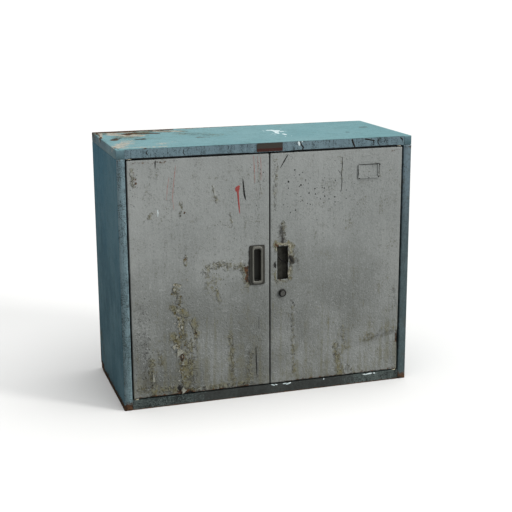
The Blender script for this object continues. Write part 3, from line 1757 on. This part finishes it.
@dataclass
class LeftDoor(Door):
    """The left door, which still has its pull."""

    side: Side = Side.LEFT

    @property
    def marks(self) -> tuple[Mark, ...]:
        """The left door's stains.

        Returns:
            The marks, in millimetres to the right of the middle and up.
        """
        return marks_of({
            Stain.OCHRE: (
                (-398, 700, -394, 650, 8, 0.7), (-261, 602, -264, 560, 8, 0.66),
                (-345, 575, -352, 560, 8, 0.6), (-168, 640, -158, 590, 9, 0.5),
                (-120, 560, -112, 520, 8, 0.5), (-32, 700, -26, 600, 9, 0.42),
                (-48, 690, -44, 640, 6, 0.42), (-82, 404, -68, 346, 20, 0.8),
                (-196, 392, -168, 414, 26, 0.55), (-168, 412, -92, 400, 26, 0.58),
                (-156, 412, -132, 396, 16, 0.55), (-190, 392, -190, 340, 22, 0.42),
                (-175, 380, -150, 300, 34, 0.34), (-160, 335, -150, 308, 13, 0.85),
                (-253, 446, -250, 415, 10, 0.8), (-284, 350, -270, 300, 20, 0.75),
                (-288, 296, -255, 276, 22, 1.05), (-262, 262, -262, 190, 20, 0.7),
                (-292, 212, -274, 186, 18, 1.15), (-232, 250, -222, 205, 18, 0.95),
                (-262, 150, -258, 60, 26, 1.0), (-240, 180, -246, 70, 26, 0.75),
                (-225, 240, -230, 60, 18, 0.5), (-356, 140, -352, 40, 22, 0.75),
                (-338, 170, -330, 130, 16, 0.55), (-395, 60, -250, 42, 18, 0.72),
                (-250, 42, -60, 42, 16, 0.66), (-120, 190, -115, 60, 20, 0.55),
                (-60, 130, -66, 40, 20, 0.6),
            ),
            Stain.RUST: (
                (-392, 690, -388, 655, 5, 0.6), (-300, 716, -396, 716, 5, 0.5),
                (-247, 571, -249, 566, 6, 0.7), (-72, 396, -67, 356, 11, 0.95),
                (-252, 440, -252, 434, 6, 0.65), (-226, 218, -222, 208, 7, 0.75),
                (-269, 146, -266, 138, 12, 1.1), (-276, 40, -236, 34, 13, 0.9),
                (-405, 34, -20, 34, 5, 0.62),
            ),
            Stain.PALE: (
                (-286, 364, -266, 358, 8, 0.9), (-284, 272, -270, 256, 9, 0.95),
                (-271, 251, -273, 236, 7, 0.95), (-282, 180, -266, 160, 12, 0.95),
            ),
            Stain.SOOT: (
                (-282, 338, -272, 306, 13, 0.45), (-224, 212, -221, 206, 5, 0.7),
                (-380, 300, -374, 60, 40, 0.36), (-42, 150, -41, 60, 9, 0.45),
                (-277, 60, -268, 38, 9, 0.9), (-62, 440, -64, 350, 7, 0.8),
                (-50, 340, -20, 342, 6, 0.55),
            ),
        })

    def weather(self, bm: Mesh) -> None:
        """Rusts a notch into the bottom edge and bends the sheet a little beside it.

        Args:
            bm: the folded skin.
        """
        low = BOXES[self.node("door_skin")][0]
        for vert in bm.verts:
            notch = ramp(1.0 - abs(vert.co.x + 0.247) / 0.013, 0.0, 1.0)
            if notch > 0.0 and vert.co.z < low.z + 6.0 * MM:
                vert.co.z += notch * (5.0 + 2.0 * smooth_noise(vert.co.x, 0.0, 0.004, 6.0)) * MM

    def pull(self) -> None:
        """The pressed pull: flange, raised rim, slot and cup."""
        node = self.node("flush_pull")
        low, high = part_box(node)
        width, height = high.x - low.x, high.z - low.z
        face = BOXES[self.node("door_skin")][0].y
        flange, crown, floor = face - 1.9 * MM, low.y, high.y
        rim = (31.0 * MM, height - 6.0 * MM)
        slot = (21.0 * MM, height - 21.4 * MM)
        cup = (29.6 * MM, slot[1])
        centre = front_centre(low, high)
        bm = bmesh.new()
        rings = [
            (width, height, 5.0 * MM, face - 0.4 * MM),
            (width, height, 5.0 * MM, flange + 0.5 * MM),
            (width - 0.9 * MM, height - 0.9 * MM, 4.6 * MM, flange),
            (rim[0] + 2.4 * MM, rim[1] + 1.6 * MM, 9.0 * MM, flange),
            (rim[0] + 0.6 * MM, rim[1] + 0.4 * MM, 8.2 * MM, flange - 0.7 * MM),
            (rim[0] - 0.6 * MM, rim[1] - 0.8 * MM, 7.8 * MM, crown + 0.9 * MM),
            (rim[0] - 2.6 * MM, rim[1] - 2.8 * MM, 7.0 * MM, crown),
            (slot[0] + 4.0 * MM, slot[1] + 4.6 * MM, 6.6 * MM, crown),
            (slot[0] + 1.2 * MM, slot[1] + 1.4 * MM, 5.6 * MM, crown + 0.7 * MM),
            (slot[0], slot[1], 5.0 * MM, crown + 2.2 * MM),
            (slot[0], slot[1], 5.0 * MM, face + 0.6 * MM),
            (cup[0], cup[1], 4.0 * MM, face + 1.0 * MM),
            (cup[0], cup[1], 4.0 * MM, floor - 2.4 * MM),
            (cup[0] - 3.0 * MM, cup[1] - 3.0 * MM, 3.0 * MM, floor - 1.2 * MM),
        ]
        loops = lofted(bm, rings, centre)
        bmesh.ops.edgeloop_fill(bm, edges=loops[-1])
        bmesh.ops.recalc_face_normals(bm, faces=bm.faces)
        made = object_from(bm, node + "_pressing", self.shop.finishes.pull)
        self.shop.place(soften(add_thickness(made, 0.7 * MM), 45.0), self.body, "pull_steel", node)
        self.shop.dress(self.node("pull_box"), self.shop.finishes.cut_box)

    def drips(self) -> None:
        """Red, black and white runs of paint and the cracks in the enamel."""
        f = self.shop.finishes
        red = (
            Run(((-95.5, 624, 6.5), (-94, 605, 4.6), (-92.5, 585, 4.4), (-90, 556, 3.0)), 0.4),
        )
        dots = ((-96.5, 627, 14.0, 17.0), (-92, 634, 8.0, 6.0))
        self.lay(Films("left_door_red_run", self.surface, red, dots, 21), f.red_film)
        faint = (
            Run(((-274, 704, 2.2), (-280, 660, 2.6), (-285, 613, 1.8), (-281, 578, 1.4)), 0.1),
            Run(((-293, 672, 1.6), (-299, 640, 2.0), (-302, 607, 1.2)), 0.1),
            Run(((-48, 719, 2.4), (-46, 690, 2.4), (-44, 640, 1.6)), 0.1),
            Run(((-28, 716, 2.0), (-26, 690, 2.2), (-26, 646, 1.6)), 0.1),
            Run(((-36, 719, 1.6), (-35, 690, 1.8), (-36, 668, 1.0)), 0.1),
        )
        self.lay(Films("left_door_faint_runs", self.surface, faint, (), 24), f.pink_film)
        rng = random.Random(8)
        black = [
            Run(((-80, 656, 2.4), (-78, 634, 4.6), (-76, 612, 4.8), (-72, 594, 3.4))),
            Run(((-331, 721, 2.6), (-331.5, 712, 3.0), (-332, 698, 1.2))),
            Run(((-278, 721, 1.6), (-278, 714, 1.0))),
            Run(((-44, 152, 2.0), (-42.5, 106, 3.4), (-41, 62, 2.0))),
            Run(((-34, 243, 1.2), (-34, 204, 1.0))),
            Run(((-224, 216, 2.4), (-221, 212, 1.6))),
        ]
        for start, end, wander, width in (
            ((-281, 64), (-264, 34), 4.0, 1.6),
            ((-264, 47), (-216, 46), 6.0, 1.1),
            ((-216, 46), (-192, 44), 6.0, 1.0),
            ((-354, 118), (-356, 67), 3.0, 0.9),
            ((-356, 67), (-347, 54), 3.0, 0.9),
            ((-290, 182), (-262, 170), 3.0, 1.2),
            ((-276, 236), (-283, 268), 3.0, 0.9),
            ((-293, 342), (-258, 336), 3.0, 0.9),
            ((-286, 364), (-266, 362), 2.0, 1.0),
            ((-274, 158), (-270, 146), 2.0, 1.0),
            ((-356, 67), (-366, 60), 1.5, 0.8),
            ((-356, 67), (-350, 74), 1.5, 0.8),
        ):
            black.append(crack(start, end, wander, width, rng))
        dots = [(-326, 170, 3.2, 3.0), (-278, 50, 9.0, 15.0), (-246, 37, 14.0, 5.0)]
        areas = (
            (150, -382, 200, 24, 60),
            (60, -352, 100, 34, 30),
            (70, -262, 200, 30, 80),
            (40, -300, 70, 100, 14),
            (26, -392, 660, 12, 30),
            (40, -150, 360, 60, 40),
            (30, -40, 620, 26, 60),
        )
        low, high = BOXES[self.node("door_skin")]
        for x, z, wide, tall in specks(rng, areas):
            if low.x + 0.004 < x * MM < high.x - 0.004 and low.z + 0.004 < z * MM < high.z - 0.004:
                dots.append((x, z, wide, tall))
        self.lay(Films("left_door_black_runs", self.surface, black, dots, 22), f.black_film)
        white = (Run(((-328, 582, 1.6), (-327, 572, 2.4), (-328, 562, 1.4))),)
        self.lay(Films("left_door_white_scratches", self.surface, white, (), 23), f.white_film)

    def flakes(self) -> None:
        """Curls of enamel that have lifted in a column below the middle."""
        f = self.shop.finishes
        cream = (
            (-277, 352, 22, 13, 0.15, 1.5), (-284, 344, 10, 12, 0.9, 1.2),
            (-276, 282, 14, 10, 0.7, 1.1), (-286, 268, 14, 16, -0.5, 1.9),
            (-274, 250, 12, 20, -0.2, 1.6), (-272, 224, 9, 22, 0.12, 1.7),
            (-280, 205, 12, 9, 0.8, 1.2), (-272, 152, 24, 30, 0.6, 1.5),
            (-286, 176, 16, 14, 1.2, 1.2), (-264, 190, 9, 10, -0.6, 1.0),
            (-266, 120, 10, 16, -0.3, 1.2), (-270, 96, 9, 12, 0.3, 1.3),
            (-352, 78, 7, 34, 0.06, 0.9), (-262, 36, 16, 24, 0.75, 1.3),
            (-218, 40, 10, 12, -0.9, 1.1), (-196, 40, 12, 12, -1.0, 1.2),
            (-247, 372, 5, 7, 0.4, 1.0),
        )
        flakes = [*(Curl(*row) for row in cream), *column_of_curls(34, 3)]
        self.lay(Curls("left_door_lifted_flakes", self.surface, flakes), f.cream_flake)
        ochre = (
            (-288, 276, 12, 9, -1.2, 1.2), (-262, 284, 10, 8, 1.5, 1.0),
            (-253, 433, 8, 6, 0.3, 1.1), (-286, 194, 9, 9, -0.9, 1.3), (-224, 208, 6, 6, 0.4, 1.2),
            (-241, 40, 9, 7, 0.2, 1.7),
        )
        flakes = [*(Curl(*row) for row in ochre), *column_of_curls(30, 4)]
        self.lay(Curls("left_door_ochre_flakes", self.surface, flakes, 9), f.ochre_flake)

    def extras(self) -> None:
        """The pull and the marks."""
        self.pull()
        self.drips()
        self.flakes()


def column_of_curls(count: int, seed: int) -> list[Curl]:
    """Small flakes scattered down the peeling column on the left door.

    Args:
        count: how many.
        seed: which scatter.

    Returns:
        The flakes.
    """
    rng = random.Random(seed)
    made = []
    for _ in range(count):
        z = rng.uniform(52, 362)
        x = -272 + 0.05 * (200 - z) + rng.gauss(0, 8)
        size = rng.uniform(3.5, 8.5)
        wide = size * rng.uniform(0.6, 1.4)
        made.append(Curl(x, z, wide, size, rng.uniform(-1.6, 1.6), rng.uniform(0.8, 1.7)))
    return made


def specks(
    rng: random.Random, areas: Sequence[tuple[int, float, float, float, float]]
) -> list[tuple[float, float, float, float]]:
    """Small dark pits gathered about some places on a door.

    Args:
        rng: gives their places and sizes.
        areas: for each gathering, its count, middle across and up, and spread across and up.

    Returns:
        Each pit's place, width and height.
    """
    made = []
    for count, x, z, across, up in areas:
        for _ in range(count):
            size = rng.uniform(0.9, 2.6)
            spot = (x + rng.uniform(-across, across), z + rng.gauss(0, up))
            made.append((*spot, size, size * rng.uniform(0.7, 1.6)))
    return made


def crack(start: Spot, end: Spot, wander: float, width: float, rng: random.Random) -> Run:
    """A jagged crack between two places, in millimetres.

    Args:
        start: where it starts.
        end: where it ends.
        wander: how far it strays.
        width: how wide it is.
        rng: gives its corners.

    Returns:
        The crack, as a thin dark run.
    """
    count = max(3, round(math.dist(start, end) / 7.0))
    points = []
    for i in range(count + 1):
        share = i / count
        stray = 0.0 if i in (0, count) else wander
        x = start[0] + (end[0] - start[0]) * share + rng.uniform(-stray, stray)
        z = start[1] + (end[1] - start[1]) * share + rng.uniform(-stray, stray)
        points.append((x, z, width * rng.uniform(0.6, 1.3)))
    return Run(tuple(points), 0.05)


@dataclass
class RightDoor(Door):
    """The right door: its pull is gone, its sheet is creased, and it has the lock."""

    side: Side = Side.RIGHT
    crease: tuple[tuple[float, float], ...] = ((0.411, 0.147), (0.314, 0.123), (0.223, 0.114))

    @property
    def marks(self) -> tuple[Mark, ...]:
        """The right door's stains.

        Returns:
            The marks, in millimetres to the right of the middle and up.
        """
        return marks_of({
            Stain.OCHRE: (
                (18, 462, 22, 440, 14, 1.25), (66, 452, 67, 404, 17, 1.15),
                (66, 396, 61, 350, 14, 0.95), (56, 458, 62, 446, 12, 1.2),
                (17, 372, 17, 350, 8, 0.95), (20, 346, 60, 344, 9, 0.5),
                (42, 520, 44, 466, 18, 0.6), (206, 130, 226, 34, 22, 0.95),
                (218, 80, 226, 34, 12, 0.8), (250, 60, 270, 36, 20, 0.6),
                (300, 150, 400, 160, 34, 0.42), (221, 702, 222, 588, 6, 0.45),
                (230, 180, 240, 120, 26, 0.5), (70, 270, 76, 60, 9, 0.62),
                (20, 700, 16, 560, 12, 0.5),
            ),
            Stain.RUST: (
                (20, 456, 26, 452, 7, 0.8), (24, 350, 34, 349, 5, 0.55),
                (409, 160, 409, 120, 5, 0.8), (380, 716, 408, 712, 7, 0.6),
                (40, 35, 408, 35, 5, 0.6),
            ),
            Stain.PALE: (
                (28, 457, 50, 456, 9, 0.95), (60, 452, 62, 424, 9, 1.0),
                (60, 388, 59, 362, 8, 0.95), (19, 384, 19, 372, 5, 0.8),
            ),
            Stain.SOOT: (
                (62, 420, 70, 400, 13, 1.15), (80, 440, 84, 380, 16, 0.34),
                (72, 408, 82, 402, 10, 0.5), (15, 404, 15, 390, 7, 0.95),
                (36, 508, 38, 460, 20, 0.62), (37, 476, 39, 458, 9, 0.95),
                (300, 134, 402, 156, 16, 0.30), (70, 288, 74, 268, 8, 0.55),
                (396, 290, 404, 240, 12, 0.42), (407, 150, 408, 128, 8, 0.8),
                (110, 300, 130, 100, 60, 0.14),
            ),
        })

    def relief(self, x: float, z: float) -> float:
        """The waves of the sheet and the crease across its lower right corner.

        Args:
            x: the place across.
            z: the place up.

        Returns:
            The depth, in metres.
        """
        line = self.crease[-1][1]
        for first, second in zip(self.crease, self.crease[1:]):
            if second[0] <= x <= first[0]:
                line = second[1] + (first[1] - second[1]) * (x - second[0]) / (first[0] - second[0])
        if x > self.crease[0][0]:
            line = self.crease[0][1]
        strength = ramp(x, 0.17, 0.40)
        away = z - line
        spread = 0.020 if away > 0 else 0.085
        valley = ramp(1.0 - abs(away) / spread, 0.0, 1.0)
        return super().relief(x, z) + 3.6 * MM * strength * valley

    def weather(self, bm: Mesh) -> None:
        """Tears the edge of the hole and bends part of it outwards.

        Args:
            bm: the folded skin.
        """
        low, high = self.cutout()
        centre, half = (low + high) / 2, (high - low) / 2
        face = BOXES[self.node("door_skin")][0].y
        for vert in bm.verts:
            x, z = vert.co.x, vert.co.z
            away = max(abs(x - centre.x) - half.x, abs(z - centre.z) - half.z)
            if vert.co.y > face + 6.0 * MM or away > 9.0 * MM:
                continue
            near = 1.0 - ramp(away, 0.0, 9.0 * MM)
            ragged = smooth_noise(x * 1.3, z, 0.006, 31.0)
            push = Vector((x - centre.x, 0.0, z - centre.z))
            if away < 0.3 * MM:
                push.x = push.x if abs(push.x) > half.x - 0.5 * MM else 0.0
                push.z = push.z if abs(push.z) > half.z - 0.5 * MM else 0.0
                vert.co += push.normalized() * (1.1 * ragged - 0.2) * MM
            torn = ramp(1.0 - abs(z - 0.410) / 0.011, 0.0, 1.0) if x > centre.x else 0.0
            vert.co.y -= near * near * (2.6 * torn + 0.7 * max(0.0, ragged)) * MM

    def open_box(self) -> None:
        """The box behind the missing pull."""
        node = self.node("pull_box")
        self.shop.rounded(node, self.body, "dark_steel", self.shop.finishes.cut_box, 0.4 * MM)
        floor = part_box(node)[1].y - 1.6 * MM
        bent = (Run(((24, 424, 3.0), (36, 410, 3.4), (44, 402, 4.0), (54, 399, 5.0)), 1.2),)
        made = Films("bent_strip_in_box", lambda x, z: floor, bent, (), 44)
        self.shop.place(made.build(self.shop.finishes.black_film), self.body, "dark_steel")

    def card_holder(self) -> None:
        """The card holder, painted over with the door, and its rivets."""
        f = self.shop.finishes
        self.shop.rounded("card_holder", self.body, "door_paint", f.door, 0.35 * MM)
        low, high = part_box("card_holder")
        bm = bmesh.new()
        for x, z in (
            (low.x + 2.6 * MM, low.z + 8 * MM),
            (high.x - 2.6 * MM, high.z - 7 * MM),
            (0.5 * (low.x + high.x), low.z + 2.5 * MM),
        ):
            head = bmesh.ops.create_uvsphere(bm, u_segments=16, v_segments=8, radius=2.0 * MM)
            bmesh.ops.scale(bm, vec=(1.0, 0.35, 1.0), verts=head["verts"])
            bmesh.ops.translate(bm, vec=(x, low.y + 0.8 * MM, z), verts=head["verts"])
        rivets = object_from(bm, "card_holder_rivets", f.lock)
        self.shop.place(soften(rivets, 60.0), self.body, "dark_steel")
        a, b, c, d = low.x / MM, low.z / MM, high.x / MM, high.z / MM
        lines = (
            Run(((a - 0.5, d + 0.3, 2.0), ((a + c) / 2, d, 1.6), (c + 2, d + 0.5, 2.6)), 0.1),
            Run(((c - 0.5, d, 3.2), (c - 1.0, d - 16, 2.2), (c - 1.0, b + 8, 2.4)), 0.1),
            Run(((a + 0.5, d - 10, 1.4), (a + 0.5, b + 8, 1.2)), 0.1),
        )
        dots = (
            (a + 3, b + 1, 6.0, 4.0),
            ((a + c) / 2, b + 2, 4.5, 3.0),
            (c - 2, b + 4, 6.0, 5.5),
            (c + 1, d - 2, 5.0, 4.0),
        )
        dirt = Films("card_holder_dirt", lambda x, z: low.y + 0.2 * MM, lines, dots, 41)
        self.shop.place(dirt.build(f.black_film), self.body, "door_paint")

    def lock(self) -> None:
        """The lock's bezel and barrel, its nut, plug and cam, and the rods it throws."""
        f = self.shop.finishes
        low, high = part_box("lock_housing")
        centre = front_centre(low, high)
        radius, bore, barrel = (high.x - low.x) / 2, 7.3 * MM, 10.0 * MM
        face = BOXES[self.node("door_skin")][0].y
        front, back = low.y, high.y
        profile = [
            (bore, back),
            (barrel, back),
            (barrel, face - 0.4 * MM),
            (radius - 0.4 * MM, face - 0.4 * MM),
            (radius, face - 0.9 * MM),
            (radius, face - 2.2 * MM),
            (radius - 0.5 * MM, face - 2.9 * MM),
            (radius - 1.6 * MM, front + 1.2 * MM),
            (radius - 2.1 * MM, front + 0.4 * MM),
            (radius - 2.9 * MM, front),
            (bore + 0.9 * MM, front),
            (bore + 0.3 * MM, front + 0.3 * MM),
            (bore, front + 0.9 * MM),
            (bore, back),
        ]
        made = object_from(spun(profile, centre), "lock_bezel_and_barrel", f.lock)
        self.shop.place(soften(made), self.body, "dark_steel", "lock_housing")
        self.shop.rounded("lock_nut", self.body, "zinc_plate", f.zinc, 0.4 * MM)
        self.shop.rounded("lock_plug", "lock_cylinder", "dark_steel", f.plug, 0.3 * MM)
        self.shop.rounded("lock_cam", "lock_cylinder", "zinc_plate", f.zinc, 0.25 * MM)
        for end in ("upper", "lower"):
            self.shop.rounded(f"{end}_rod_guide", self.body, "nylon", f.nylon, 0.4 * MM)
            self.shop.rounded(f"{end}_lock_rod", f"{end}_rod", "zinc_plate", f.zinc, 0.4 * MM)

    def spatter(self) -> None:
        """Black scratches and spatter near the top, and the torn edge's loose flakes."""
        f = self.shop.finishes
        runs = [
            Run(((56, 719, 2.2), (49, 708, 3.0), (41, 695, 3.2), (32, 680, 2.0))),
            Run((
                (221, 702, 1.4), (223, 680, 2.4), (220, 655, 1.6), (222, 630, 2.2), (220, 600, 1.4),
            ), 0.1),
            Run(((333, 676, 1.4), (333, 660, 1.2), (332, 640, 1.0)), 0.1),
            Run(((252, 521, 1.4), (251, 513, 1.0)), 0.1),
            Run(((58, 424, 2.4), (61, 412, 6.0), (68, 405, 6.4), (74, 402, 3.0)), 0.5),
            Run(((60, 408, 3.0), (63, 396, 2.4), (61, 386, 1.4)), 0.3),
            Run(((18, 398, 4.0), (16.5, 392, 5.0), (18, 386, 2.0)), 0.3),
            Run(((24, 452.5, 2.0), (34, 453, 1.2), (44, 452, 2.4)), 0.2),
        ]
        dots = [
            (57, 639, 4.0, 5.0), (76, 672, 3.0, 3.4), (90, 657, 3.0, 2.6), (95, 627, 4.4, 3.6),
            (138, 614, 3.2, 3.0), (167, 614, 3.4, 3.0), (120, 602, 3.2, 3.6), (140, 598, 3.0, 3.0),
            (169, 590, 3.4, 3.2), (182, 581, 2.6, 3.0), (200, 586, 3.6, 3.0), (201, 571, 2.6, 3.0),
            (72, 276, 3.4, 3.8), (63, 548, 2.4, 3.0), (236, 604, 2.2, 2.6), (16, 399, 3.0, 6.0),
        ]
        dots = [(x, z, wide * 1.35, tall * 1.35) for x, z, wide, tall in dots]
        rng = random.Random(31)
        for _ in range(70):
            x, z = rng.gauss(150, 62), rng.gauss(612, 38)
            if 20 < x < 400 and 480 < z < 712:
                size = rng.uniform(1.4, 3.4)
                dots.append((x, z, size, size * rng.uniform(0.8, 1.5)))
        self.lay(Films("right_door_black_spatter", self.surface, runs, dots, 32), f.black_film)
        curls = (
            (20.5, 440, 9, 4, 1.5, 1.3), (20.0, 378, 11, 4, 1.6, 1.2),
            (57.5, 378, 18, 6, -1.4, 1.4), (57.0, 360, 9, 5, -1.8, 1.1),
            (57.5, 436, 20, 7, -1.6, 1.5), (60.0, 424, 10, 6, -1.2, 1.0),
            (34, 452.5, 12, 4, 0.1, 1.3), (48, 452.0, 8, 5, -0.3, 1.2),
        )
        flakes = [Curl(*row) for row in curls]
        self.lay(Curls("right_door_torn_paint", self.surface, flakes, 14), f.cream_flake)

    def extras(self) -> None:
        """The open box, card holder, lock and marks."""
        self.open_box()
        self.card_holder()
        self.lock()
        self.spatter()


# ---- studio


@dataclass
class Studio:
    """The floor, the light and the camera."""

    camera_place: tuple[float, float, float] = (-0.96641, -3.10641, 1.18443)
    right: tuple[float, float, float] = (0.952794, -0.303582, -0.004654)
    up: tuple[float, float, float] = (0.077297, 0.227717, 0.970654)
    back: tuple[float, float, float] = (-0.293613, -0.925193, 0.240434)
    lens: float = 76.709

    def camera(self) -> None:
        """Stands the camera a little to the left, looking down."""
        data = bpy.data.cameras.new("camera")
        data.lens, data.sensor_width = self.lens, 36.0
        made = bpy.data.objects.new("camera", data)
        matrix = Matrix((self.right, self.up, self.back)).transposed().to_4x4()
        matrix.translation = Vector(self.camera_place)
        made.matrix_world = matrix
        bpy.context.scene.collection.objects.link(made)
        bpy.context.scene.camera = made

    def floor(self) -> None:
        """A wide pale floor."""
        bm = bmesh.new()
        bmesh.ops.create_grid(bm, x_segments=1, y_segments=1, size=300.0)
        g = Graph("studio_floor")
        shade = g.noise(0.6, 2.0)
        colour = g.mix(g.step(shade, 0.3, 0.7), (0.39, 0.39, 0.39), (0.41, 0.41, 0.41))
        object_from(bm, "studio_floor", g.finish(colour, 0.9, (), specular=0.1))

    def sun(self, name: str, towards: Vector, spread: float, strength: float, tint: Colour) -> None:
        """One wide, even light.

        Args:
            name: its name.
            towards: the way to it from the cupboard.
            spread: how wide it looks, in degrees.
            strength: how bright it is.
            tint: its colour.
        """
        data = bpy.data.lights.new(name, "SUN")
        data.angle = math.radians(spread)
        data.energy = strength
        data.color = tint
        made = bpy.data.objects.new(name, data)
        made.rotation_euler = towards.to_track_quat("Z", "Y").to_euler()
        bpy.context.scene.collection.objects.link(made)

    def light(self) -> None:
        """A dim sky, a wide light overhead and a softer key from the right."""
        world = bpy.data.worlds.new("sky")
        world.use_nodes = True
        background = world.node_tree.nodes["Background"]
        background.inputs["Color"].default_value = (0.86, 0.94, 1.0, 1.0)
        background.inputs["Strength"].default_value = 0.18
        bpy.context.scene.world = world
        self.sun("overhead", Vector((0.10, -0.10, 1.0)), 64.0, 6.6, (1.0, 0.995, 0.98))
        self.sun("key_from_right", Vector((0.727, -0.581, 0.366)), 13.0, 3.4, (1.0, 0.985, 0.955))

    def build(self) -> None:
        """Makes the studio."""
        self.floor()
        self.light()
        self.camera()
        bpy.context.scene.view_settings.view_transform = "Standard"


# ---- making


def main() -> None:
    """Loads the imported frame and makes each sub-assembly."""
    logging.basicConfig(level=logging.INFO, format="%(name)s: %(message)s")
    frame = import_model()
    for node in frame["nodes"]:
        BOXES[node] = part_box(node)
    # The lock turns a quarter inside a door that swings past it: quaternions keep both exact.
    for empty in frame["bodies"].values():
        empty.rotation_mode = "QUATERNION"
    Studio().build()
    shop = Shop(frame["nodes"], Finishes.make())
    Carcass(shop).build()
    LeftDoor(shop).build()
    RightDoor(shop).build()


if __name__ == "__main__":
    main()
